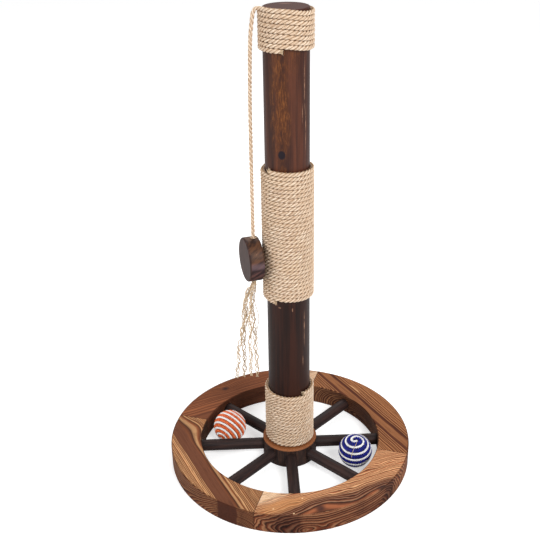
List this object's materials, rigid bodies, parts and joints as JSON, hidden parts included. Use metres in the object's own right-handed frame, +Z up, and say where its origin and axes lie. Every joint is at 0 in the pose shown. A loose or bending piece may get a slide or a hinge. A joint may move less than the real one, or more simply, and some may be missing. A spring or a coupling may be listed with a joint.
{
  "type": "cat scratching post",
  "caption": "Rope-wound wooden post on a spoked wheel base, with a hanging wood disc and tassel and loose cord-wound balls between the spokes.",
  "frame": {"origin": "centre of the wheel base, on the floor under it", "axes": "+Z up along the post, -Y towards the front, from which the hanging toy is on the left; +X to the right"},
  "size_m": [0.4, 0.4, 0.7437],
  "materials": {
    "charred_softwood": "brushed and charred softwood, satin",
    "stained_wood": "dark walnut stain, satin",
    "varnished_wood": "dark walnut stain, semi-gloss varnish",
    "plain_wood": "bare hardwood",
    "sisal": "three-strand laid sisal rope",
    "pale_yarn": "unlaid wavy sisal yarn",
    "orange_cord": "twisted cord",
    "blue_cord": "twisted cord",
    "white_cord": "twisted cord",
    "ball_core": "plain ball under the winding",
    "zinc_steel": "zinc plated",
    "brass": "plain"
  },
  "bodies": {
    "root": {"rim_plank_right": "charred_softwood", "rim_plank_back": "charred_softwood", "rim_plank_left": "charred_softwood", "rim_plank_front": "charred_softwood", "rim_joint_dowels": "plain_wood", "spoke_1": "stained_wood", "spoke_2": "stained_wood", "spoke_3": "stained_wood", "spoke_4": "stained_wood", "spoke_5": "stained_wood", "spoke_6": "stained_wood", "spoke_7": "stained_wood", "spoke_8": "stained_wood", "hub": "stained_wood", "post": "varnished_wood", "hub_bolt": "zinc_steel", "bolt_washer": "zinc_steel", "threaded_insert": "brass", "rope_wrap_top": "sisal", "rope_wrap_middle_upper": "sisal", "rope_wrap_middle_lower": "sisal", "rope_wrap_bottom": "sisal"},
    "rope_bend": {"rope_bend": "sisal"},
    "hanging_toy": {"hanging_rope": "sisal", "wood_disc": "stained_wood", "tassel_front_left": "pale_yarn", "tassel_back_left": "pale_yarn", "tassel_front_right": "pale_yarn", "tassel_back_right": "pale_yarn", "tassel_yarn": "pale_yarn"},
    "orange_ball": {"orange_ball_core": "ball_core", "orange_ball_cord_orange": "orange_cord", "orange_ball_cord_white": "white_cord"},
    "blue_ball": {"blue_ball_core": "ball_core", "blue_ball_cord_blue": "blue_cord", "blue_ball_cord_white": "white_cord"}
  },
  "joints": [
    {"name": "toy_outward_swing", "type": "hinge", "parent": "root", "child": "rope_bend", "pos_m": [-0.0319, -0.01732, 0.74047], "axis": [-0.6154, 0.7877, 0.0289], "range_deg": [0, 60]},
    {"name": "toy_side_swing", "type": "hinge", "parent": "rope_bend", "child": "hanging_toy", "pos_m": [-0.0486, -0.01, 0.7], "axis": [-0.9511, -0.309, 0], "range_deg": [-45, 45]},
    {"name": "orange_ball_lift", "type": "slide", "parent": "root", "child": "orange_ball", "axis": [0, 0, 1], "range_m": [0, 0.08]},
    {"name": "blue_ball_lift", "type": "slide", "parent": "root", "child": "blue_ball", "axis": [0, 0, 1], "range_m": [0, 0.08]}
  ]
}
